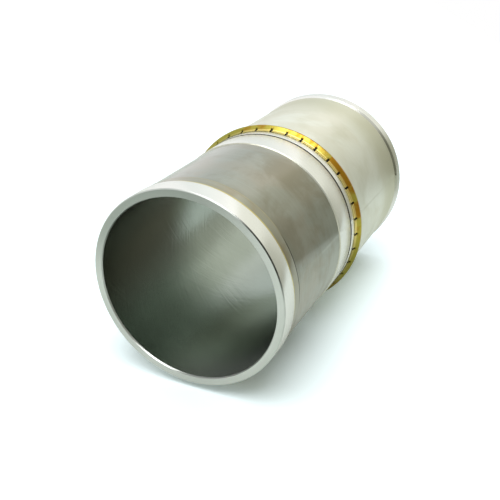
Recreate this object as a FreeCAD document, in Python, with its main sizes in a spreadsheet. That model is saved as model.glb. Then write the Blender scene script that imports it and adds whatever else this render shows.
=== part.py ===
import FreeCAD, Part
import os
import Sketcher

# Wet cylinder liner with a mid-height stop flange and a slotted brass ring on that flange.
# The liner stands on its lower end: the cylinder axis is +Z and z = 0 is the lower end face.
# Heights of the outer zones are counted downwards from the top end, in the order they are turned.
# Each zone's radius is the bore's plus the wall left there.

# Driving dimensions, millimetres.
sizes = {
    "overall_length": 246.0,
    "bore_diameter": 125.0,
    "mouth_lead_width": 0.5,
    "mouth_lead_height": 1.2,
    "exit_chamfer": 1.5,
    "band_wall": 5.7,
    "band_height": 13.6,
    "band_edge": 0.7,
    "band_foot": 0.4,
    "strip_wall": 5.15,
    "strip_height": 8.7,
    "jacket_wall": 4.7,
    "jacket_height": 75.1,
    "jacket_bevel": 0.5,
    "land_wall": 5.4,
    "land_height": 21.8,
    "groove_width": 1.0,
    "groove_depth": 0.9,
    "shoulder_wall": 5.6,
    "shoulder_height": 8.7,
    "seat_width": 0.9,
    "flange_cone_height": 2.7,
    "flange_rim_height": 0.7,
    "seat_fillet": 0.6,
    "body_wall": 6.1,
    "collar_wall": 7.3,
    "collar_height": 8.5,
    "collar_lead_height": 2.0,
    "collar_end_chamfer": 1.2,
    "ring_thickness": 0.7,
    "ring_clearance": 0.15,
    "ring_slide": 0.1,
    "lip_height": 1.85,
    "ring_heel": 0.4,
    "slot_width": 1.7,
    "slot_rim_height": 3.1,
    "slot_count": 36,
}

# Radii, levels and fits that follow from the driving dimensions.
derived = {
    "bore_radius": "=bore_diameter / 2",
    "mouth_radius": "=bore_radius + mouth_lead_width",
    "mouth_level": "=overall_length - mouth_lead_height",
    "exit_radius": "=bore_radius + exit_chamfer",
    "band_radius": "=bore_radius + band_wall",
    "face_radius": "=band_radius - band_edge",
    "band_top": "=overall_length - band_edge",
    "band_bottom": "=band_top - band_height",
    "strip_radius": "=bore_radius + strip_wall",
    "strip_top": "=band_bottom - band_foot",
    "strip_bottom": "=strip_top - strip_height",
    "jacket_radius": "=bore_radius + jacket_wall",
    "jacket_top": "=strip_bottom - jacket_bevel",
    "jacket_bottom": "=jacket_top - jacket_height",
    "land_radius": "=bore_radius + land_wall",
    "land_top": "=jacket_bottom - jacket_bevel",
    "land_bottom": "=land_top - land_height",
    "groove_radius": "=land_radius - groove_depth",
    "shoulder_radius": "=bore_radius + shoulder_wall",
    "shoulder_top": "=land_bottom - groove_width",
    "cone_top": "=shoulder_top - shoulder_height",
    "collar_radius": "=bore_radius + collar_wall",
    "ring_bore_radius": "=collar_radius + ring_slide",
    "flange_radius": "=ring_bore_radius + seat_width",
    "rim_top": "=cone_top - flange_cone_height",
    "seat_level": "=rim_top - flange_rim_height",
    "body_radius": "=bore_radius + body_wall",
    "collar_top": "=collar_end_chamfer + collar_height",
    "collar_lead_top": "=collar_top + collar_lead_height",
    "foot_radius": "=collar_radius - collar_end_chamfer",
    "cone_shift": "=tan(atan((flange_radius - shoulder_radius) / flange_cone_height) / 2)",
    "outer_offset": "=ring_clearance + ring_thickness",
    "lip_inner_radius": "=shoulder_radius + ring_clearance",
    "lip_outer_radius": "=shoulder_radius + outer_offset",
    "rim_inner_radius": "=flange_radius + ring_clearance",
    "rim_outer_radius": "=flange_radius + outer_offset",
    "lip_inner_foot": "=cone_top + ring_clearance * cone_shift",
    "lip_outer_foot": "=cone_top + outer_offset * cone_shift",
    "rim_inner_top": "=rim_top + ring_clearance * cone_shift",
    "rim_outer_top": "=rim_top + outer_offset * cone_shift",
    "lip_top": "=lip_outer_foot + lip_height",
    "ring_bottom": "=seat_level - ring_thickness",
    "heel_radius": "=rim_outer_radius - ring_heel",
    "heel_top": "=ring_bottom + ring_heel",
    "slot_foot": "=ring_bottom + slot_rim_height",
    "slot_head": "=lip_top + slot_width",
    "slot_half": "=slot_width / 2",
}


def make_sheet(doc):
    sheet = doc.addObject("Spreadsheet::Sheet", "Sizes")
    row = 1
    for name, value in sizes.items():
        sheet.set("A%d" % row, str(value))
        sheet.setAlias("A%d" % row, name)
        row += 1
    for name, formula in derived.items():
        sheet.set("B%d" % row, formula)
        sheet.setAlias("B%d" % row, name)
        row += 1
    doc.recompute()
    return sheet


def origin_feature(body, role):
    for feature in body.Origin.OriginFeatures:
        if feature.Role == role:
            return feature
    raise RuntimeError("no origin feature " + role)


def new_sketch(body, name, plane):
    sketch = body.newObject("Sketcher::SketchObject", name)
    sketch.AttachmentSupport = (origin_feature(body, plane), "")
    sketch.MapMode = "FlatFace"
    return sketch


def bind(sketch, index, name, cell):
    # Names a constraint and ties it to its cell.
    sketch.renameConstraint(index, name)
    sketch.setExpression("Constraints." + name, "Sizes." + cell)


def half_section(doc, sheet, body, name, corners):
    # A closed profile on the XZ plane, each corner placed by the cells of its radius and its level.
    # A corner with no level lies on the lower end face.
    sketch = new_sketch(body, name, "XZ_Plane")
    places = []
    for radius, level in corners:
        height = float(sheet.get(level)) if level else 0.0
        places.append(FreeCAD.Vector(float(sheet.get(radius)), height, 0))
    count = len(places)
    for i in range(count):
        sketch.addGeometry(Part.LineSegment(places[i], places[(i + 1) % count]), False)
    for i in range(count):
        sketch.addConstraint(Sketcher.Constraint("Coincident", i, 2, (i + 1) % count, 1))
    for i, (radius, level) in enumerate(corners):
        across = sketch.addConstraint(Sketcher.Constraint("DistanceX", -1, 1, i, 1, places[i].x))
        bind(sketch, across, "radius_%d" % i, radius)
        if not level:
            sketch.addConstraint(Sketcher.Constraint("PointOnObject", i, 1, -1))
            continue
        up = sketch.addConstraint(Sketcher.Constraint("DistanceY", -1, 1, i, 1, places[i].y))
        bind(sketch, up, "level_%d" % i, level)
    doc.recompute()
    return sketch


def revolve(doc, body, name, sketch):
    turned = body.newObject("PartDesign::Revolution", name)
    turned.Profile = sketch
    turned.ReferenceAxis = (sketch, ["V_Axis"])
    turned.Angle = 360.0
    doc.recompute()
    return turned


def circle_edges(shape, radius, level):
    # Names of the full-circle edges of one radius at one level.
    names = []
    for i, edge in enumerate(shape.Edges):
        if not isinstance(edge.Curve, Part.Circle):
            continue
        if abs(edge.Curve.Radius - radius) < 1e-4 and abs(edge.Curve.Center.z - level) < 1e-4:
            names.append("Edge%d" % (i + 1))
    return names


def round_edges(doc, body, name, base, edges, cell):
    rounded = body.newObject("PartDesign::Fillet", name)
    rounded.Base = (base, edges)
    rounded.setExpression("Radius", "Sizes." + cell)
    doc.recompute()
    return rounded


def make_liner(doc, sheet):
    # One casting, turned all over outside and honed in the bore.
    body = doc.addObject("PartDesign::Body", "Liner")
    body.Label = "liner"
    outer = [
        ("bore_radius", "exit_chamfer"),
        ("exit_radius", None),
        ("foot_radius", None),
        ("collar_radius", "collar_end_chamfer"),
        ("collar_radius", "collar_top"),
        ("body_radius", "collar_lead_top"),
        ("body_radius", "seat_level"),
        ("flange_radius", "seat_level"),
        ("flange_radius", "rim_top"),
        ("shoulder_radius", "cone_top"),
        ("shoulder_radius", "shoulder_top"),
        ("groove_radius", "shoulder_top"),
        ("groove_radius", "land_bottom"),
        ("land_radius", "land_bottom"),
        ("land_radius", "land_top"),
        ("jacket_radius", "jacket_bottom"),
        ("jacket_radius", "jacket_top"),
        ("strip_radius", "strip_bottom"),
        ("strip_radius", "strip_top"),
        ("band_radius", "band_bottom"),
        ("band_radius", "band_top"),
        ("face_radius", "overall_length"),
        ("mouth_radius", "overall_length"),
        ("bore_radius", "mouth_level"),
    ]
    section = half_section(doc, sheet, body, "LinerSection", outer)
    turned = revolve(doc, body, "LinerTurned", section)
    corner = circle_edges(turned.Shape, sheet.get("body_radius"), sheet.get("seat_level"))
    round_edges(doc, body, "SeatCorner", turned, corner, "seat_fillet")
    return body


def make_ring(doc, sheet):
    # Pressed sheet brass: a flat washer under the flange, turned up over its rim and cone into
    # fingers that end in a straight lip on the shoulder.
    body = doc.addObject("PartDesign::Body", "Ring")
    body.Label = "seat_ring"
    corners = [
        ("ring_bore_radius", "ring_bottom"),
        ("heel_radius", "ring_bottom"),
        ("rim_outer_radius", "heel_top"),
        ("rim_outer_radius", "rim_outer_top"),
        ("lip_outer_radius", "lip_outer_foot"),
        ("lip_outer_radius", "lip_top"),
        ("lip_inner_radius", "lip_top"),
        ("lip_inner_radius", "lip_inner_foot"),
        ("rim_inner_radius", "rim_inner_top"),
        ("rim_inner_radius", "seat_level"),
        ("ring_bore_radius", "seat_level"),
    ]
    section = half_section(doc, sheet, body, "RingSection", corners)
    pressed = revolve(doc, body, "RingPressed", section)
    slot = new_sketch(body, "SlotOutline", "YZ_Plane")
    half = float(sheet.get("slot_half"))
    foot = float(sheet.get("slot_foot"))
    head = float(sheet.get("slot_head"))
    corners = [(-half, foot), (half, foot), (half, head), (-half, head)]
    for i in range(4):
        start = FreeCAD.Vector(corners[i][0], corners[i][1], 0)
        end = FreeCAD.Vector(corners[(i + 1) % 4][0], corners[(i + 1) % 4][1], 0)
        slot.addGeometry(Part.LineSegment(start, end), False)
    for i in range(4):
        slot.addConstraint(Sketcher.Constraint("Coincident", i, 2, (i + 1) % 4, 1))
    for side, direction in enumerate(["Horizontal", "Vertical", "Horizontal", "Vertical"]):
        slot.addConstraint(Sketcher.Constraint(direction, side))
    right = slot.addConstraint(Sketcher.Constraint("DistanceX", -1, 1, 0, 2, half))
    bind(slot, right, "right_side", "slot_half")
    left = slot.addConstraint(Sketcher.Constraint("DistanceX", 0, 1, -1, 1, half))
    bind(slot, left, "left_side", "slot_half")
    low = slot.addConstraint(Sketcher.Constraint("DistanceY", -1, 1, 0, 1, foot))
    bind(slot, low, "slot_foot", "slot_foot")
    high = slot.addConstraint(Sketcher.Constraint("DistanceY", -1, 1, 2, 1, head))
    bind(slot, high, "slot_head", "slot_head")
    doc.recompute()
    cut = body.newObject("PartDesign::Pocket", "SlotCut")
    cut.Profile = slot
    cut.Type = "ThroughAll"
    cut.Refine = False
    doc.recompute()
    if not cut.Shape.Volume < pressed.Shape.Volume - 1e-3:
        cut.Reversed = True
        doc.recompute()
    pattern = body.newObject("PartDesign::PolarPattern", "SlotPattern")
    pattern.Originals = [cut]
    pattern.Axis = (origin_feature(body, "Z_Axis"), [""])
    pattern.Angle = 360.0
    pattern.Refine = False
    pattern.setExpression("Occurrences", "Sizes.slot_count")
    body.Tip = pattern
    doc.recompute()
    return body


def check(doc, bodies):
    doc.recompute()
    for thing in doc.Objects:
        if "Invalid" in thing.State or "Error" in thing.State:
            raise RuntimeError(thing.Name + " failed")
    for body in bodies:
        if body.Shape.isNull() or not body.Shape.isValid() or len(body.Shape.Solids) != 1:
            raise RuntimeError(body.Label + " has no good solid")


def main():
    doc = FreeCAD.newDocument("CylinderLiner")
    sheet = make_sheet(doc)
    bodies = [make_liner(doc, sheet), make_ring(doc, sheet)]
    check(doc, bodies)
    os.makedirs("parts", exist_ok=True)
    for body in bodies:
        box = body.Shape.BoundBox
        print(body.Label, round(body.Shape.Volume), "mm3", round(box.XLength, 2), round(box.ZLength, 2))
        body.Shape.exportStep(os.path.join("parts", body.Label + ".step"))


main()
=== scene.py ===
import math

import bmesh
import bpy
from mathutils import Matrix, Vector


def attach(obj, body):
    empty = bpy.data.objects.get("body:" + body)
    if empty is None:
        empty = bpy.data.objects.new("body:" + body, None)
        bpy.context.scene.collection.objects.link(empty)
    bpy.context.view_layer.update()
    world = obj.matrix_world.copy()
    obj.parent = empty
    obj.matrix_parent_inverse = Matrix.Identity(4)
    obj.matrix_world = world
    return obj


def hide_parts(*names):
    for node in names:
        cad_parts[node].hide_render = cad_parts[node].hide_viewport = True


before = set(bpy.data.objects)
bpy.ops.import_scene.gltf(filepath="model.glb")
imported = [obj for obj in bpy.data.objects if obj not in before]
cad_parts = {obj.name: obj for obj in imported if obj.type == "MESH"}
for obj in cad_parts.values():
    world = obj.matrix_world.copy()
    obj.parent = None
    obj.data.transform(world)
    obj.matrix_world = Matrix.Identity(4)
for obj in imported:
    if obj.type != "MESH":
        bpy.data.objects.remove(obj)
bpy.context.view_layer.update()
scene = bpy.context.scene
mm = 0.001
print("frame loaded:", ", ".join(sorted(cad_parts)))


def linear(hexColor):
    # sRGB hex to Blender's linear colour
    channels = [int(hexColor[i:i + 2], 16) / 255 for i in (1, 3, 5)]
    return tuple(c / 12.92 if c <= 0.04045 else ((c + 0.055) / 1.055) ** 2.4 for c in channels) + (1.0,)


def add(tree, kind, inputs=None, **settings):
    # one node with its settings, values and links
    node = tree.nodes.new(kind)
    for name, value in settings.items():
        setattr(node, name, value)
    for key, value in (inputs or {}).items():
        if isinstance(value, bpy.types.NodeSocket):
            tree.links.new(value, node.inputs[key])
        else:
            node.inputs[key].default_value = value
    return node


# the photo's viewpoint, found by fitting the liner's circles
camera = {
    "place": (0.2518, 0.1888, 0.6058),
    "right": (0.8901, -0.1538, -0.4291),
    "up": (-0.0290, 0.9204, -0.3898),
    "lens": 54.72,
}

# the photo's room: the liner lies on its side there, so its own Z points to the front
roomUp = Vector((0.1704, 0.9853, 0.0000)).normalized()
roomRight = Vector(camera["right"]).normalized()
roomAway = Vector((-0.4227, 0.0730, -0.9033)).normalized()


def makeCamera(look):
    right = Vector(look["right"]).normalized()
    up = Vector(look["up"])
    up = (up - up.dot(right) * right).normalized()
    back = right.cross(up)
    data = bpy.data.cameras.new("photoCamera")
    data.lens = look["lens"]
    data.sensor_width = 36
    data.clip_start = 0.01
    data.clip_end = 50
    cam = bpy.data.objects.new("photoCamera", data)
    turn = Matrix((right, up, back)).transposed()
    cam.matrix_world = Matrix.Translation(look["place"]) @ turn.to_4x4()
    scene.collection.objects.link(cam)
    scene.camera = cam


makeCamera(camera)
scene.view_settings.view_transform = "Standard"
print("camera placed")


# the liner's form: one half-section turned about Z by Geometry Nodes
liner = {
    # (radius, height) in mm, from the bore's far end round the outside to the mouth
    "section": [
        (62.5, 1.5), (64.0, 0.0), (68.6, 0.0), (69.8, 1.2), (69.8, 9.7), (68.6, 11.7), (68.6, 111.6),
        (70.8, 111.6), (70.8, 112.3), (68.1, 115.0), (68.1, 117.0), (68.1, 123.7), (67.0, 123.7), (67.0, 124.7),
        (67.9, 124.7), (67.9, 146.5), (67.2, 147.0), (67.2, 220.9), (67.2, 222.1), (67.65, 222.6),
        (67.65, 229.8), (67.65, 231.3), (68.2, 231.7), (68.2, 245.3), (67.5, 246.0), (63.0, 246.0), (62.5, 244.8),
    ],
    "segments": 288,
    "edgeRadius": 0.16,     # a deburred edge
    "edgeSteps": 3,
    "pathRadius": 60.0,
    "weld": 0.02,           # mm
    "boreTo": (64.2, 244.7),     # what faces inward inside this radius and under this height is honed
    "faceTo": 66.0,         # the end face and its inner chamfer lie inside this radius
}


def sectionMesh(name, points, pathRadius):
    # the closed outline as edges; x runs out from the circle that it is swept along, y runs down
    data = bpy.data.meshes.new(name)
    verts = [((r - pathRadius) * mm, -z * mm, 0.0) for r, z in points]
    count = len(verts)
    data.from_pydata(verts, [(i, (i + 1) % count) for i in range(count)], [])
    return data


def turnedTree():
    tree = bpy.data.node_groups.new("turnedPart", "GeometryNodeTree")
    face = tree.interface
    face.new_socket("Geometry", in_out="INPUT", socket_type="NodeSocketGeometry")
    face.new_socket("Segments", in_out="INPUT", socket_type="NodeSocketInt")
    face.new_socket("Path radius", in_out="INPUT", socket_type="NodeSocketFloat")
    face.new_socket("Edge radius", in_out="INPUT", socket_type="NodeSocketFloat")
    face.new_socket("Edge steps", in_out="INPUT", socket_type="NodeSocketInt")
    face.new_socket("Weld", in_out="INPUT", socket_type="NodeSocketFloat")
    face.new_socket("Material", in_out="INPUT", socket_type="NodeSocketMaterial")
    face.new_socket("Geometry", in_out="OUTPUT", socket_type="NodeSocketGeometry")
    given = add(tree, "NodeGroupInput").outputs
    outline = add(tree, "GeometryNodeMeshToCurve", {"Mesh": given["Geometry"]})
    rounded = add(tree, "GeometryNodeFilletCurve", {"Curve": outline.outputs[0], "Radius": given["Edge radius"],
                  "Count": given["Edge steps"], "Limit Radius": True}, mode="POLY")
    circle = add(tree, "GeometryNodeCurvePrimitiveCircle", {"Resolution": given["Segments"],
                 "Radius": given["Path radius"]})
    path = add(tree, "GeometryNodeSetCurveNormal", {"Curve": circle.outputs[0]}, mode="Z_UP")
    solid = add(tree, "GeometryNodeCurveToMesh", {"Curve": path.outputs[0], "Profile Curve": rounded.outputs[0]})
    # points on a straight run get no fillet, so their doubles are merged
    welded = add(tree, "GeometryNodeMergeByDistance", {"Geometry": solid.outputs[0], "Distance": given["Weld"]})
    smooth = add(tree, "GeometryNodeSetShadeSmooth", {"Geometry": welded.outputs[0], "Shade Smooth": True})
    real = add(tree, "GeometryNodeRealizeInstances", {"Geometry": smooth.outputs[0]})
    done = add(tree, "GeometryNodeSetMaterial", {"Geometry": real.outputs[0], "Material": given["Material"]})
    add(tree, "NodeGroupOutput", {"Geometry": done.outputs[0]})
    return tree


def fromTree(name, data, tree, values, extra=()):
    # runs the tree on a scratch object and keeps the result as a plain mesh
    scratch = bpy.data.objects.new(name + "Scratch", data)
    scene.collection.objects.link(scratch)
    modifier = scratch.modifiers.new("shape", "NODES")
    modifier.node_group = tree
    sockets = {s.name: s.identifier for s in tree.interface.items_tree if s.in_out == "INPUT"}
    for key, value in values.items():
        modifier[sockets[key]] = value
    for kind, settings in extra:
        more = scratch.modifiers.new(kind.lower(), kind)
        for key, value in settings.items():
            setattr(more, key, value)
    graph = bpy.context.evaluated_depsgraph_get()
    made = bpy.data.meshes.new_from_object(scratch.evaluated_get(graph), depsgraph=graph)
    made.name = name
    bpy.data.objects.remove(scratch)
    piece = bpy.data.objects.new(name, made)
    scene.collection.objects.link(piece)
    return piece


def volumeOf(data):
    work = bmesh.new()
    work.from_mesh(data)
    volume = work.calc_volume(signed=True)
    work.free()
    return volume


# the ring's form: one pitch of pressed sheet, set round the axis by Geometry Nodes
ring = {
    "count": 36,
    "slotWidth": 1.7,
    "fingerSteps": 5,
    # (radius, height) in mm: the unslotted sheet from the washer round the heel to the slot's foot,
    # the finger from there over its tip and back, and the inside of the sheet down to the seat
    "rim": [(69.9, 111.6), (69.9, 110.9), (71.25, 110.9), (71.65, 111.3), (71.65, 112.652)],
    "finger": [(70.302, 114.0), (68.95, 115.352), (68.95, 117.2), (68.25, 117.2), (68.25, 115.062),
               (69.312, 114.0)],
    "heel": [(70.95, 112.362), (70.95, 111.6)],
    "edgeRadius": 0.12,     # rounding left by the press
    "weld": 0.01,
}


def ringPitch(look):
    # one slot in the middle of a 10 degree piece, open at both ends so that the copies weld
    half = math.pi / look["count"]
    foot = look["finger"][0][1]
    lower = look["rim"] + [look["finger"][0], look["finger"][-1]] + look["heel"]
    upper = look["finger"]
    work = bmesh.new()

    def ringOf(points, side, step):
        made = []
        for r, z in points:
            near = math.asin(look["slotWidth"] / 2 / r)
            angle = side * (near + (half - near) * step / look["fingerSteps"])
            made.append(work.verts.new((r * mm * math.cos(angle), r * mm * math.sin(angle), z * mm)))
        return made

    def skin(a, b, closed):
        last = len(a) if closed else len(a) - 1
        for i in range(last):
            j = (i + 1) % len(a)
            work.faces.new((a[i], b[i], b[j], a[j]))

    low = {}
    for side in (-1, 1):
        for step in range(look["fingerSteps"] + 1):
            low[side, step] = ringOf(lower, side, step)
            if step:
                a, b = low[side, step - 1], low[side, step]
                skin(a, b, False)
                work.faces.new((a[-1], b[-1], b[0], a[0]))
    skin(low[-1, 0], low[1, 0], False)
    work.faces.new((low[-1, 0][-1], low[1, 0][-1], low[1, 0][0], low[-1, 0][0]))
    for side in (-1, 1):
        rows = [ringOf(upper, side, step) for step in range(look["fingerSteps"] + 1)]
        for a, b in zip(rows, rows[1:]):
            skin(a, b, False)
        work.faces.new(rows[0])
    bmesh.ops.remove_doubles(work, verts=work.verts, dist=1e-6)
    # the band between the slot's foot corners inside a finger is no surface
    besideSlot = 0.02     # radians, just past the slot's own faces
    inside = [f for f in work.faces if all(abs(v.co.z - foot * mm) < 1e-7 for v in f.verts)
              and abs(math.atan2(f.calc_center_median().y, f.calc_center_median().x)) > besideSlot]
    bmesh.ops.delete(work, geom=inside, context="FACES_ONLY")
    bmesh.ops.recalc_face_normals(work, faces=work.faces)
    data = bpy.data.meshes.new("ringPitch")
    work.to_mesh(data)
    work.free()
    return data


def ringTree():
    tree = bpy.data.node_groups.new("slottedRing", "GeometryNodeTree")
    face = tree.interface
    face.new_socket("Geometry", in_out="INPUT", socket_type="NodeSocketGeometry")
    face.new_socket("Count", in_out="INPUT", socket_type="NodeSocketInt")
    face.new_socket("Weld", in_out="INPUT", socket_type="NodeSocketFloat")
    face.new_socket("Material", in_out="INPUT", socket_type="NodeSocketMaterial")
    face.new_socket("Geometry", in_out="OUTPUT", socket_type="NodeSocketGeometry")
    given = add(tree, "NodeGroupInput").outputs
    points = add(tree, "GeometryNodeMeshLine", {"Count": given["Count"], "Offset": (0, 0, 0)})
    index = add(tree, "GeometryNodeInputIndex")
    pitch = add(tree, "ShaderNodeMath", {0: 2 * math.pi, 1: given["Count"]}, operation="DIVIDE")
    angle = add(tree, "ShaderNodeMath", {0: index.outputs[0], 1: pitch.outputs[0]}, operation="MULTIPLY")
    turn = add(tree, "ShaderNodeCombineXYZ", {"Z": angle.outputs[0]})
    copies = add(tree, "GeometryNodeInstanceOnPoints", {"Points": points.outputs[0], "Instance": given["Geometry"],
                 "Rotation": turn.outputs[0]})
    real = add(tree, "GeometryNodeRealizeInstances", {"Geometry": copies.outputs[0]})
    welded = add(tree, "GeometryNodeMergeByDistance", {"Geometry": real.outputs[0], "Distance": given["Weld"]})
    smooth = add(tree, "GeometryNodeSetShadeSmooth", {"Geometry": welded.outputs[0], "Shade Smooth": True})
    done = add(tree, "GeometryNodeSetMaterial", {"Geometry": smooth.outputs[0], "Material": given["Material"]})
    add(tree, "NodeGroupOutput", {"Geometry": done.outputs[0]})
    return tree


markDepth = 0.0002     # metres: how deep the tool marks and the sheet's grain look


def shaderTree(name):
    material = bpy.data.materials.new(name)
    material.use_nodes = True
    tree = material.node_tree
    tree.nodes.clear()
    return material, tree


def azimuthMask(tree, place, look):
    # a soft mask round one azimuth, 1 in its middle
    flat = add(tree, "ShaderNodeVectorMath", {0: place, 1: (1, 1, 0)}, operation="MULTIPLY")
    outward = add(tree, "ShaderNodeVectorMath", {0: flat.outputs[0]}, operation="NORMALIZE")
    angle, half = math.radians(look["stretchAt"]), math.radians(look["stretchHalf"])
    toward = add(tree, "ShaderNodeVectorMath", {0: outward.outputs[0], 1: (math.cos(angle), math.sin(angle), 0)},
                 operation="DOT_PRODUCT")
    mask = add(tree, "ShaderNodeMapRange", {"Value": toward.outputs["Value"], "From Min": math.cos(half),
               "From Max": math.cos(half * 0.3), "To Max": look["stretch"]}, interpolation_type="SMOOTHSTEP")
    return mask.outputs[0]


def turnedIron(name, look):
    # Grey cast iron cut on a lathe or ground: satin, streaked round the axis by the tool marks
    material, tree = shaderTree(name)
    place = add(tree, "ShaderNodeTexCoord").outputs["Object"]
    # tool marks: noise squeezed along the axis, so it only changes with height
    around = add(tree, "ShaderNodeMapping", {"Vector": place, "Scale": (6, 6, 1000 / look["feed"])})
    marks = add(tree, "ShaderNodeTexNoise", {"Vector": around.outputs[0], "Scale": 1.0, "Detail": 3.0,
                "Roughness": 0.6})
    # cloudy handling marks some 15 to 40 mm wide
    clouds = add(tree, "ShaderNodeTexNoise", {"Vector": place, "Scale": 1000 / look["cloud"], "Detail": 5.0,
                 "Roughness": 0.55, "Distortion": 0.4})
    cloudMask = add(tree, "ShaderNodeMapRange", {"Value": clouds.outputs["Fac"], "From Min": 0.42,
                    "From Max": 0.68}, interpolation_type="SMOOTHSTEP")
    # the iron's own grain only stirs the gloss
    grain = add(tree, "ShaderNodeTexNoise", {"Vector": place, "Scale": 1400.0, "Detail": 2.0})
    base = add(tree, "ShaderNodeMix", {"Factor": marks.outputs["Fac"], "A": linear(look["dark"]),
               "B": linear(look["light"])}, data_type="RGBA")
    amount = add(tree, "ShaderNodeMath", {0: cloudMask.outputs[0], 1: look["stain"]}, operation="MULTIPLY")
    # wider patches of another tone
    blush = add(tree, "ShaderNodeTexNoise", {"Vector": place, "Scale": 1000 / look["cloud"] * 0.7, "Detail": 3.0,
                "Distortion": 0.8})
    blushMask = add(tree, "ShaderNodeMapRange", {"Value": blush.outputs["Fac"], "From Min": 0.45, "From Max": 0.62,
                    "To Max": look["blushed"]}, interpolation_type="SMOOTHSTEP")
    base = add(tree, "ShaderNodeMix", {"Factor": blushMask.outputs[0], "A": base.outputs["Result"],
               "B": linear(look["blush"])}, data_type="RGBA")
    # painted shade: the tint grows round one azimuth
    if "stretch" in look:
        amount = add(tree, "ShaderNodeMath", {0: amount.outputs[0], 1: azimuthMask(tree, place, look)},
                     operation="ADD", use_clamp=True)
    tinted = add(tree, "ShaderNodeMix", {"Factor": amount.outputs[0], "A": base.outputs["Result"],
                 "B": linear(look["tint"])}, data_type="RGBA")
    if "fade" in look:
        # the tint grows towards one end
        height = add(tree, "ShaderNodeSeparateXYZ", {0: place}).outputs["Z"]
        ends = [z * mm for z in look["fadeAt"]]
        fading = add(tree, "ShaderNodeMapRange", {"Value": height, "From Min": ends[0], "From Max": ends[1],
                     "To Max": look["fade"]}, interpolation_type="SMOOTHSTEP")
        tinted = add(tree, "ShaderNodeMix", {"Factor": fading.outputs[0], "A": tinted.outputs["Result"],
                     "B": linear(look["tint"])}, data_type="RGBA")
    spread = look["roughSpread"]
    rough = add(tree, "ShaderNodeMapRange", {"Value": grain.outputs["Fac"], "To Min": look["rough"] - spread,
                "To Max": look["rough"] + spread})
    bump = add(tree, "ShaderNodeBump", {"Strength": look["bump"], "Distance": markDepth,
               "Height": marks.outputs["Fac"]})
    tangent = add(tree, "ShaderNodeTangent", direction_type="RADIAL", axis="Z")
    shader = add(tree, "ShaderNodeBsdfPrincipled", {"Base Color": tinted.outputs["Result"], "Metallic": 1.0,
                 "Roughness": rough.outputs[0], "Normal": bump.outputs[0], "Anisotropic": look["smear"],
                 "Anisotropic Rotation": 0.25, "Tangent": tangent.outputs[0], "Coat Weight": look["oil"],
                 "Coat Roughness": 0.12})
    add(tree, "ShaderNodeOutputMaterial", {"Surface": shader.outputs[0]})
    return material
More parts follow.
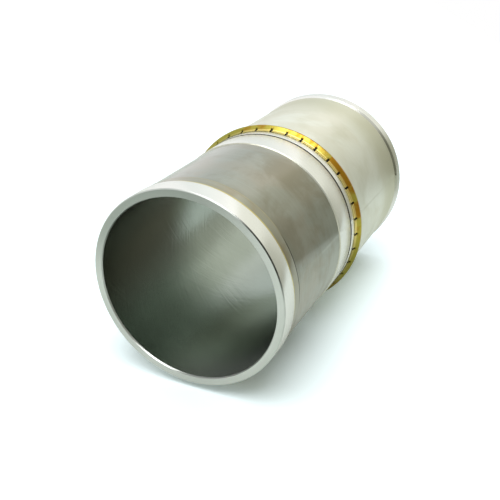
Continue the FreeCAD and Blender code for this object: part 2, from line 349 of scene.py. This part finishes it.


# light and dark are the two tones of the tool marks, tint and stain the cloudy marks, blush and blushed the wide
# patches, and stretch the painted shade of the tint round one azimuth in degrees. feed and cloud are widths in mm:
# a real feed of 0.1 to 0.3 mm is too fine to show in the render, so the marks are drawn 1.0 to 1.4 mm wide
ironLooks = {
    # turned and left, with a thin coat of oil; its stretch is painted shade round one azimuth
    "jacket": {"light": "#ADB1A6", "dark": "#989C8E", "tint": "#80795E", "stain": 0.5, "blush": "#A89E8A",
               "blushed": 0.45, "rough": 0.33, "roughSpread": 0.02, "smear": 0.88, "feed": 1.4, "cloud": 26,
               "bump": 0.08, "oil": 1.0, "stretch": 0.35, "stretchAt": 44, "stretchHalf": 27},
    # ground to fit the block
    "band": {"light": "#FEFEFB", "dark": "#F4F5EF", "tint": "#E9E8DA", "stain": 0.12, "blush": "#F2F4EC",
             "blushed": 0.2, "rough": 0.25, "roughSpread": 0.01, "smear": 0.8, "feed": 1.0, "cloud": 30,
             "bump": 0.015, "oil": 0.0},
    # the narrow turned step between jacket and band
    "strip": {"light": "#A8A793", "dark": "#96947E", "tint": "#8E7B50", "stain": 0.45, "blush": "#A8946C",
              "blushed": 0.4, "rough": 0.33, "roughSpread": 0.02, "smear": 0.88, "feed": 1.2, "cloud": 20,
              "bump": 0.08, "oil": 1.0},
    # ground like the band
    "land": {"light": "#FCFCF8", "dark": "#F0F1EA", "tint": "#E4E2D2", "stain": 0.12, "blush": "#EFEFE6",
             "blushed": 0.2, "rough": 0.25, "roughSpread": 0.01, "smear": 0.8, "feed": 1.0, "cloud": 30,
             "bump": 0.015, "oil": 0.0},
    # the groove, painted near black
    "groove": {"light": "#33322C", "dark": "#1E1D19", "tint": "#191812", "stain": 0.4, "blush": "#33322C",
               "blushed": 0.0, "rough": 0.6, "roughSpread": 0.03, "smear": 0.2, "feed": 1.0, "cloud": 15,
               "bump": 0.05, "oil": 0.1},
    # a pale hair line in the step, with painted shade round one azimuth
    "seam": {"light": "#BDB797", "dark": "#A49E80", "tint": "#2E2C22", "stain": 0.15, "blush": "#A49E80",
             "blushed": 0.0, "rough": 0.4, "roughSpread": 0.02, "smear": 0.4, "feed": 1.0, "cloud": 12,
             "bump": 0.05, "oil": 0.3, "stretch": 0.9, "stretchAt": 3, "stretchHalf": 31},
    # dried yellow varnish where the ground band ends
    "varnish": {"light": "#E6D98C", "dark": "#D0C27A", "tint": "#B09C5C", "stain": 0.6, "blush": "#E0CF70",
                "blushed": 0.0, "rough": 0.4, "roughSpread": 0.03, "smear": 0.4, "feed": 1.0, "cloud": 14,
                "bump": 0.05, "oil": 0.5},
    # the chamfer between band and face, with painted shade along one part
    "rim": {"light": "#DEE2DC", "dark": "#CED2CC", "tint": "#3E4038", "stain": 0.1, "blush": "#CED2CC",
            "blushed": 0.0, "rough": 0.42, "roughSpread": 0.02, "smear": 0.4, "feed": 1.0, "cloud": 12,
            "bump": 0.03, "oil": 0.0, "stretch": 0.88, "stretchAt": 25, "stretchHalf": 30},
    # painted shade: the liner under the ring is painted near black, so that its slots show dark
    "oily": {"light": "#38331F", "dark": "#1C1910", "tint": "#120F09", "stain": 0.5, "blush": "#38331F",
             "blushed": 0.0, "rough": 0.55, "roughSpread": 0.05, "smear": 0.2, "feed": 1.0, "cloud": 12,
             "bump": 0.1, "oil": 0.3},
    # paler and duller than the jacket, darker towards its lower end
    "body": {"light": "#F2F3E8", "dark": "#E6E7DA", "tint": "#CDCCB4", "stain": 0.45, "blush": "#DEDAC6",
             "blushed": 0.5, "rough": 0.44, "roughSpread": 0.02, "smear": 0.6, "feed": 1.4, "cloud": 36,
             "bump": 0.03, "oil": 0.2, "fade": 0.8, "fadeAt": (60, 22)},
    # ground to fit the block's lower bore; its stretch is painted shade on one side, where the floor's shadow is
    # mirrored
    "collar": {"light": "#FDFDFA", "dark": "#F0F0EA", "tint": "#A9A995", "stain": 0.1, "blush": "#F4F2EA",
               "blushed": 0.2, "rough": 0.22, "roughSpread": 0.01, "smear": 0.75, "feed": 1.0, "cloud": 20,
               "bump": 0.015, "oil": 0.0, "stretch": 0.8, "stretchAt": 7, "stretchHalf": 30},
}


def facedIron(name, look):
    # the end face is cut square across: fine rings round the axis, satin
    material, tree = shaderTree(name)
    place = add(tree, "ShaderNodeTexCoord").outputs["Object"]
    flat = add(tree, "ShaderNodeVectorMath", {0: place, 1: (1, 1, 0)}, operation="MULTIPLY")
    radius = add(tree, "ShaderNodeVectorMath", {0: flat.outputs[0]}, operation="LENGTH")
    line = add(tree, "ShaderNodeCombineXYZ", {"X": radius.outputs["Value"]})
    rings = add(tree, "ShaderNodeTexNoise", {"Vector": line.outputs[0], "Scale": 1000 / look["feed"],
                "Detail": 2.0})
    clouds = add(tree, "ShaderNodeTexNoise", {"Vector": place, "Scale": 60.0, "Detail": 4.0})
    mixing = add(tree, "ShaderNodeMath", {0: rings.outputs["Fac"], 1: clouds.outputs["Fac"]},
                 operation="MULTIPLY")
    color = add(tree, "ShaderNodeMix", {"Factor": mixing.outputs[0], "A": linear(look["dark"]),
                "B": linear(look["light"])}, data_type="RGBA")
    # painted shade: the tint round one azimuth darkens the upper part
    color = add(tree, "ShaderNodeMix", {"Factor": azimuthMask(tree, place, look), "A": color.outputs["Result"],
                "B": linear(look["tint"])}, data_type="RGBA")
    bump = add(tree, "ShaderNodeBump", {"Strength": 0.05, "Distance": markDepth, "Height": rings.outputs["Fac"]})
    tangent = add(tree, "ShaderNodeTangent", direction_type="RADIAL", axis="Z")
    shader = add(tree, "ShaderNodeBsdfPrincipled", {"Base Color": color.outputs["Result"], "Metallic": 1.0,
                 "Roughness": look["rough"], "Normal": bump.outputs[0], "Anisotropic": look["smear"],
                 "Anisotropic Rotation": 0.25, "Tangent": tangent.outputs[0]})
    add(tree, "ShaderNodeOutputMaterial", {"Surface": shader.outputs[0]})
    return material


# feed in mm, drawn coarser than the real 0.1 to 0.3 mm, which wouldn't show; stretch is painted shade on the upper
# part
faceLook = {"light": "#F8FAF5", "dark": "#DCE0D9", "tint": "#9DA49C", "rough": 0.34, "smear": 0.9, "feed": 0.9,
            "stretch": 0.75, "stretchAt": 102, "stretchHalf": 75}


def honedIron(name, look):
    # the bore is honed: two families of fine scratches cross at about 60 degrees
    material, tree = shaderTree(name)
    place = add(tree, "ShaderNodeTexCoord").outputs["Object"]
    split = add(tree, "ShaderNodeSeparateXYZ", {0: place}).outputs
    families = []
    for side in (-1, 1):
        # the scratches climb as helices: turning the point by its height makes them straight
        climb = side / math.tan(math.radians(look["angle"])) / (liner["section"][0][0] * mm)
        turn = add(tree, "ShaderNodeMath", {0: split["Z"], 1: climb}, operation="MULTIPLY")
        turned = add(tree, "ShaderNodeVectorRotate", {"Vector": place, "Angle": turn.outputs[0]},
                     rotation_type="Z_AXIS")
        flat = add(tree, "ShaderNodeVectorMath", {0: turned.outputs[0], 1: (1, 1, 0.02)}, operation="MULTIPLY")
        # the two families differ a little in width
        scratch = add(tree, "ShaderNodeTexNoise", {"Vector": flat.outputs[0], "Detail": 2.0, "Roughness": 0.7,
                      "Scale": (1 + 0.1 * side) * 1000 / look["scratch"]})
        families.append(scratch.outputs["Fac"])
    both = add(tree, "ShaderNodeMath", {0: families[0], 1: families[1]}, operation="ADD")
    hatch = add(tree, "ShaderNodeMath", {0: both.outputs[0], 1: 0.5}, operation="MULTIPLY")
    clouds = add(tree, "ShaderNodeTexNoise", {"Vector": place, "Scale": 22.0, "Detail": 4.0})
    color = add(tree, "ShaderNodeMix", {"Factor": hatch.outputs[0], "A": linear(look["dark"]),
                "B": linear(look["light"])}, data_type="RGBA")
    mask = add(tree, "ShaderNodeMapRange", {"Value": clouds.outputs["Fac"], "From Min": 0.4, "From Max": 0.7,
               "To Max": look["stain"]})
    tinted = add(tree, "ShaderNodeMix", {"Factor": mask.outputs[0], "A": color.outputs["Result"],
                 "B": linear(look["tint"])}, data_type="RGBA")
    nearMouth = add(tree, "ShaderNodeMapRange", {"Value": split["Z"], "From Min": look["cleanTo"] * mm,
                    "From Max": look["dullFrom"] * mm}, interpolation_type="SMOOTHSTEP")
    dulled = add(tree, "ShaderNodeMix", {"Factor": nearMouth.outputs[0], "A": tinted.outputs["Result"],
                 "B": linear(look["dull"])}, data_type="RGBA")
    # a brown film of old oil on one side of the outer half
    oiled = add(tree, "ShaderNodeMapRange", {"Value": split["Z"], "From Min": look["filmTo"] * mm,
                "From Max": look["filmFrom"] * mm}, interpolation_type="SMOOTHSTEP")
    film = add(tree, "ShaderNodeMath", {0: oiled.outputs[0], 1: azimuthMask(tree, place, look)},
               operation="MULTIPLY")
    filmed = add(tree, "ShaderNodeMix", {"Factor": film.outputs[0], "A": dulled.outputs["Result"],
                 "B": linear(look["film"])}, data_type="RGBA")
    rough = add(tree, "ShaderNodeMapRange", {"Value": hatch.outputs[0], "From Min": 0.3, "From Max": 0.7,
                "To Min": look["rough"] - look["roughSpread"], "To Max": look["rough"] + look["roughSpread"]})
    # fine dust has settled on the lower side near the mouth and scatters the light
    inMouth = add(tree, "ShaderNodeMapRange", {"Value": split["Z"], "From Min": look["dustFrom"] * mm,
                  "From Max": look["dustTo"] * mm}, interpolation_type="SMOOTHSTEP")
    lower = azimuthMask(tree, place, {"stretch": 1.0, "stretchAt": look["dustAt"],
                                      "stretchHalf": look["dustHalf"]})
    settled = add(tree, "ShaderNodeMath", {0: inMouth.outputs[0], 1: lower}, operation="MULTIPLY")
    dusted = add(tree, "ShaderNodeMix", {"Factor": settled.outputs[0], "A": filmed.outputs["Result"],
                 "B": linear(look["dusty"])}, data_type="RGBA")
    metal = add(tree, "ShaderNodeMapRange", {"Value": settled.outputs[0], "To Min": 1.0,
                "To Max": 1 - look["dust"]})
    bump = add(tree, "ShaderNodeBump", {"Strength": look["relief"], "Distance": look["reliefDepth"] * mm,
               "Height": hatch.outputs[0]})
    shader = add(tree, "ShaderNodeBsdfPrincipled", {"Base Color": dusted.outputs["Result"],
                 "Metallic": metal.outputs[0], "Roughness": rough.outputs[0], "Normal": bump.outputs[0]})
    add(tree, "ShaderNodeOutputMaterial", {"Surface": shader.outputs[0]})
    return material


# scratch, reliefDepth and all heights in mm. The real scratches are 0.01 to 0.05 mm wide, too fine to show in the
# render, so they are drawn 2.4 mm wide. Dull and film lie in the outer half, dust on the side that is underneath
boreLook = {"light": "#B8C1B9", "dark": "#A6AFA7", "tint": "#949E92", "stain": 0.3, "rough": 0.21,
            "roughSpread": 0.02, "scratch": 2.4, "angle": 30, "relief": 0.23, "reliefDepth": 1.0, "cleanTo": 125,
            "dullFrom": 200, "dull": "#777F75", "film": "#585245", "filmTo": 120, "filmFrom": 168,
            "stretch": 0.85, "stretchAt": 150, "stretchHalf": 62, "dusty": "#D2DAD0", "dust": 0.13,
            "dustAt": -62, "dustHalf": 70, "dustFrom": 175, "dustTo": 235}


def pressedBrass(name, look):
    # thin brass sheet, pressed and left bare: painted highlight on the lips, browner and duller in patches, with
    # more brown round one azimuth as painted shade
    material, tree = shaderTree(name)
    place = add(tree, "ShaderNodeTexCoord").outputs["Object"]
    split = add(tree, "ShaderNodeSeparateXYZ", {0: place}).outputs
    clouds = add(tree, "ShaderNodeTexNoise", {"Vector": place, "Scale": 1000 / look["cloud"], "Detail": 4.0,
                 "Roughness": 0.6})
    # each finger has its own tone, from its number round the axis
    azimuth = add(tree, "ShaderNodeMath", {0: split["Y"], 1: split["X"]}, operation="ARCTAN2")
    number = add(tree, "ShaderNodeMath", {0: azimuth.outputs[0], 1: ring["count"] / (2 * math.pi)},
                 operation="MULTIPLY")
    whole = add(tree, "ShaderNodeMath", {0: number.outputs[0]}, operation="FLOOR")
    tone = add(tree, "ShaderNodeTexWhiteNoise", {"W": whole.outputs[0]}, noise_dimensions="1D")
    own = add(tree, "ShaderNodeMapRange", {"Value": tone.outputs["Value"], "To Min": -look["fingerTone"],
              "To Max": look["fingerTone"]})
    fingered = add(tree, "ShaderNodeMath", {0: clouds.outputs["Fac"], 1: own.outputs[0]}, operation="ADD")
    # random tarnish, plus painted shade: more brown round one azimuth
    patches = add(tree, "ShaderNodeMath", {0: fingered.outputs[0], 1: azimuthMask(tree, place, look)},
                  operation="ADD")
    mask = add(tree, "ShaderNodeMapRange", {"Value": patches.outputs[0], "From Min": look["patches"][0],
               "From Max": look["patches"][1], "To Max": look["tarnishAndShade"]}, interpolation_type="SMOOTHSTEP")
    tarnishedAndShaded = add(tree, "ShaderNodeMix", {"Factor": mask.outputs[0], "A": linear(look["bright"]),
               "B": linear(look["brown"])}, data_type="RGBA")
    # painted highlight: the lips are painted pale
    lip = add(tree, "ShaderNodeMapRange", {"Value": split["Z"], "From Min": look["lipFrom"] * mm,
              "From Max": look["lipTo"] * mm, "To Max": look["lipHighlight"]})
    color = add(tree, "ShaderNodeMix", {"Factor": lip.outputs[0], "A": tarnishedAndShaded.outputs["Result"],
                "B": linear(look["lip"])}, data_type="RGBA")
    # greener where damp has stood on the sheet
    for spot in look["damp"]:
        color = add(tree, "ShaderNodeMix", {"Factor": azimuthMask(tree, place, spot), "A": color.outputs["Result"],
                    "B": linear(spot["color"])}, data_type="RGBA")
    # the sheet's skin has a grain of about 1 mm
    fine = add(tree, "ShaderNodeTexNoise", {"Vector": place, "Scale": 900.0, "Detail": 3.0})
    rough = add(tree, "ShaderNodeMapRange", {"Value": fine.outputs["Fac"], "To Min": look["rough"] - 0.06,
                "To Max": look["rough"] + 0.06})
    bump = add(tree, "ShaderNodeBump", {"Strength": 0.08, "Distance": markDepth, "Height": fine.outputs["Fac"]})
    shader = add(tree, "ShaderNodeBsdfPrincipled", {"Base Color": color.outputs["Result"], "Metallic": 1.0,
                 "Roughness": rough.outputs[0], "Normal": bump.outputs[0], "Coat Weight": look["oil"],
                 "Coat Roughness": 0.3})
    add(tree, "ShaderNodeOutputMaterial", {"Surface": shader.outputs[0]})
    return material


# cloud and the lip's heights in mm, the azimuths in degrees
brassLook = {"bright": "#BEB048", "brown": "#B07808", "tarnishAndShade": 0.9, "patches": (0.44, 0.66), "cloud": 10,
             "fingerTone": 0.11, "lip": "#FFEC98", "lipHighlight": 1.0, "lipFrom": 114.8, "lipTo": 115.4, "oil": 0.25,
             "rough": 0.34, "stretch": 0.16, "stretchAt": 22, "stretchHalf": 34,
             "damp": [{"color": "#6C6A1E", "stretch": 0.75, "stretchAt": -48, "stretchHalf": 42},
                      {"color": "#8E8C34", "stretch": 0.7, "stretchAt": 122, "stretchHalf": 32}]}


linerMaterials = {key: turnedIron(key + "Iron", look) for key, look in ironLooks.items()}
linerMaterials["face"] = facedIron("facedIron", faceLook)
linerMaterials["bore"] = honedIron("honedIron", boreLook)
ringMaterial = pressedBrass("pressedBrass", brassLook)
print("materials made:", len(linerMaterials) + 1)


# which finish a height has on the outside, from the collar up, in mm
finishLevels = [(11.7, "collar"), (111.6, "body"), (117.0, "oily"), (123.6, "land"), (124.75, "groove"),
                (146.45, "land"), (147.1, "body"), (220.95, "jacket"), (222.15, "seam"), (229.85, "strip"),
                (231.75, "varnish"), (245.3, "band"), (247.0, "rim")]


def makeLiner(look):
    data = sectionMesh("linerSection", look["section"], look["pathRadius"])
    values = {"Segments": look["segments"], "Path radius": look["pathRadius"] * mm,
              "Edge radius": look["edgeRadius"] * mm, "Edge steps": look["edgeSteps"], "Weld": look["weld"] * mm,
              "Material": linerMaterials["jacket"]}
    extra = [("WEIGHTED_NORMAL", {"keep_sharp": True, "weight": 50})]
    piece = fromTree("linerTurned", data, turnedTree(), values, extra)
    if volumeOf(piece.data) < 0:
        piece.data.flip_normals()
    names = sorted(linerMaterials)
    piece.data.materials.clear()
    for name in names:
        piece.data.materials.append(linerMaterials[name])
    for face in piece.data.polygons:
        centre = face.center
        radius, height = math.hypot(centre.x, centre.y) / mm, centre.z / mm
        inward = face.normal.x * centre.x + face.normal.y * centre.y < 0
        if inward and radius < look["boreTo"][0] and height < look["boreTo"][1]:
            finish = "bore"
        elif height < 0.05 or radius < look["faceTo"]:
            finish = "face"
        else:
            finish = next(name for top, name in finishLevels if height <= top)
        face.material_index = names.index(finish)
    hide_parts("liner")
    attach(piece, "root")
    return piece


def makeRing(look):
    values = {"Count": look["count"], "Weld": look["weld"] * mm, "Material": ringMaterial}
    extra = [("BEVEL", {"width": look["edgeRadius"] * mm, "segments": 2, "limit_method": "ANGLE",
                        "angle_limit": math.radians(35)}),
             ("WEIGHTED_NORMAL", {"keep_sharp": True, "weight": 50})]
    piece = fromTree("seatRingPressed", ringPitch(look), ringTree(), values, extra)
    if volumeOf(piece.data) < 0:
        piece.data.flip_normals()
    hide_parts("seat_ring")
    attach(piece, "root")
    return piece


linerPiece = makeLiner(liner)
ringPiece = makeRing(ring)
print("liner faces", len(linerPiece.data.polygons), "ring faces", len(ringPiece.data.polygons))


# the pale table that the liner's side touches in the photo, with its reach and drop in metres
floor = {"color": "#D0D6D2", "seenColor": "#E9F4F8", "seenGain": 1.31,
         "left": 2.5, "right": 0.46, "front": 1.5, "away": 2.5, "drop": 0.0717}


def makeFloor(look):
    data = bpy.data.meshes.new("paleFloor")
    flatRight = (roomRight - roomRight.dot(roomUp) * roomUp).normalized()
    flatAway = roomUp.cross(flatRight).normalized()
    if flatAway.dot(roomAway) < 0:
        flatAway = -flatAway
    corners = []
    for x, y in ((-look["left"], -look["front"]), (look["right"], -look["front"]),
                 (look["right"], look["away"]), (-look["left"], look["away"])):
        corners.append(flatRight * x + flatAway * y - roomUp * look["drop"])
    data.from_pydata(corners, [], [(0, 1, 2, 3)])
    if data.polygons[0].normal.dot(roomUp) < 0:
        data.flip_normals()
    # matt pale board; the eye sees it lifted to white with its shadow kept, and from underneath it
    # is clear so that it hides nothing
    material, tree = shaderTree("paleBoard")
    path = add(tree, "ShaderNodeLightPath").outputs
    seen = add(tree, "ShaderNodeMath", {0: path["Is Camera Ray"], 1: path["Is Transmission Ray"]},
               operation="MAXIMUM")
    gain = tuple(c * look["seenGain"] for c in linear(look["seenColor"])[:3]) + (1.0,)
    color = add(tree, "ShaderNodeMix", {"Factor": seen.outputs[0], "A": linear(look["color"]), "B": gain},
                data_type="RGBA", clamp_result=False)
    matt = add(tree, "ShaderNodeBsdfDiffuse", {"Color": color.outputs["Result"]})
    clear = add(tree, "ShaderNodeBsdfTransparent")
    behind = add(tree, "ShaderNodeNewGeometry").outputs["Backfacing"]
    shader = add(tree, "ShaderNodeMixShader", {0: behind, 1: matt.outputs[0], 2: clear.outputs[0]})
    add(tree, "ShaderNodeOutputMaterial", {"Surface": shader.outputs[0]})
    data.materials.append(material)
    board = bpy.data.objects.new("paleFloor", data)
    board.visible_shadow = False
    scene.collection.objects.link(board)


makeFloor(floor)


# the studio: a white sweep behind and to the left, a darker room to the right and in front
light = {
    "sunStrength": 1.8,
    "sunAngle": 45,
    "sunFrom": (-0.03, 0.95, -0.28),     # to the right, up, away
    # the studio from left (0) to right (1) as the metal sees it
    "sweep": [(0.0, "#E9EDED"), (0.40, "#EAEEED"), (0.47, "#E0E4E3"), (0.55, "#E4E8E6"), (0.63, "#E8E9E6"),
              (0.70, "#F4F4F0"), (0.728, "#EEEFE8"), (0.738, "#DFE0D6"), (0.80, "#DFE0D5"), (0.876, "#E2E3D8"),
              (0.905, "#C6C7BB"), (0.92, "#AAAB9E"), (1.0, "#A6A89B")],
    "level": 1.15,
    "front": 0.5,       # how much of the level is left in front
    "ceiling": 0.9,     # how much of that is left overhead in front
    "below": 0.82,      # and under the horizon
    # spans along the away or up direction, -1 to 1, over which each change is made
    "frontToAway": (-0.6, 0.6),
    "levelToCeiling": (0.0, 0.5),
    "awayToFront": (0.35, -0.1),
    "belowToAbove": (-0.1, 0.06),
    # where metal's view of the white backdrop fades in: along the sweep, and away
    "backdropAcross": (0.46, 0.40),
    "backdropAway": (0.0, 0.3),
}


def makeLight(look):
    world = bpy.data.worlds.new("paleStudio")
    world.use_nodes = True
    tree = world.node_tree
    tree.nodes.clear()
    place = add(tree, "ShaderNodeTexCoord").outputs["Generated"]
    across = add(tree, "ShaderNodeVectorMath", {0: place, 1: tuple(roomRight)}, operation="DOT_PRODUCT")
    away = add(tree, "ShaderNodeVectorMath", {0: place, 1: tuple(roomAway)}, operation="DOT_PRODUCT")
    half = add(tree, "ShaderNodeMapRange", {"Value": across.outputs["Value"], "From Min": -1.0})
    sweep = add(tree, "ShaderNodeValToRGB", {"Fac": half.outputs[0]})
    stops = sweep.color_ramp.elements
    for i, (at, color) in enumerate(look["sweep"]):
        stop = stops[i] if i < 1 else (stops[-1] if i == len(look["sweep"]) - 1 else stops.new(at))
        stop.position = at
        stop.color = linear(color)
    # the room is dimmer in front, dimmer still overhead there, and dimmer under the horizon
    rise = add(tree, "ShaderNodeVectorMath", {0: place, 1: tuple(roomUp)}, operation="DOT_PRODUCT")

    def fade(value, span, first, last, curve="SMOOTHSTEP"):
        node = add(tree, "ShaderNodeMapRange", {"Value": value, "From Min": span[0], "From Max": span[1],
                   "To Min": first, "To Max": last}, interpolation_type=curve)
        return node.outputs[0]

    depth = fade(away.outputs["Value"], look["frontToAway"], look["front"] * look["level"], look["level"])
    overhead = fade(rise.outputs["Value"], look["levelToCeiling"], 1.0, look["ceiling"])
    inFront = fade(away.outputs["Value"], look["awayToFront"], 0.0, 1.0)
    dimmed = add(tree, "ShaderNodeMix", {"Factor": inFront, "A": 1.0, "B": overhead})
    under = fade(rise.outputs["Value"], look["belowToAbove"], look["below"], 1.0)
    parts = add(tree, "ShaderNodeMath", {0: depth, 1: dimmed.outputs["Result"]}, operation="MULTIPLY")
    whole = add(tree, "ShaderNodeMath", {0: parts.outputs[0], 1: under}, operation="MULTIPLY")
    # the eye, glass and, on the backdrop's side, metal see plain white
    path = add(tree, "ShaderNodeLightPath").outputs
    backdrop = fade(half.outputs[0], look["backdropAcross"], 0.0, 1.0, "LINEAR")
    behind = fade(away.outputs["Value"], look["backdropAway"], 0.0, 1.0, "LINEAR")
    side = add(tree, "ShaderNodeMath", {0: backdrop, 1: behind}, operation="MULTIPLY")
    mirrored = add(tree, "ShaderNodeMath", {0: path["Is Glossy Ray"], 1: side.outputs[0]}, operation="MULTIPLY")
    direct = add(tree, "ShaderNodeMath", {0: path["Is Camera Ray"], 1: path["Is Transmission Ray"]},
                 operation="MAXIMUM")
    seen = add(tree, "ShaderNodeMath", {0: direct.outputs[0], 1: mirrored.outputs[0]}, operation="MAXIMUM")
    strength = add(tree, "ShaderNodeMix", {"Factor": seen.outputs[0], "A": whole.outputs[0], "B": 1.0})
    color = add(tree, "ShaderNodeMix", {"Factor": seen.outputs[0], "A": sweep.outputs["Color"],
                "B": (1, 1, 1, 1)}, data_type="RGBA")
    shade = add(tree, "ShaderNodeBackground", {"Color": color.outputs["Result"],
                "Strength": strength.outputs["Result"]})
    add(tree, "ShaderNodeOutputWorld", {"Surface": shade.outputs[0]})
    scene.world = world
    data = bpy.data.lights.new("windowLamp", "SUN")
    data.energy = look["sunStrength"]
    data.angle = math.radians(look["sunAngle"])
    lamp = bpy.data.objects.new("windowLamp", data)
    flatRight = (roomRight - roomRight.dot(roomUp) * roomUp).normalized()
    x, y, z = look["sunFrom"]
    source = (flatRight * x + roomUp * y + roomAway * z).normalized()
    lamp.rotation_mode = "QUATERNION"
    lamp.rotation_quaternion = source.to_track_quat("Z", "Y")
    scene.collection.objects.link(lamp)


makeLight(light)
print("floor and light made")


# the scene is brought up to date, then the end
bpy.context.view_layer.update()
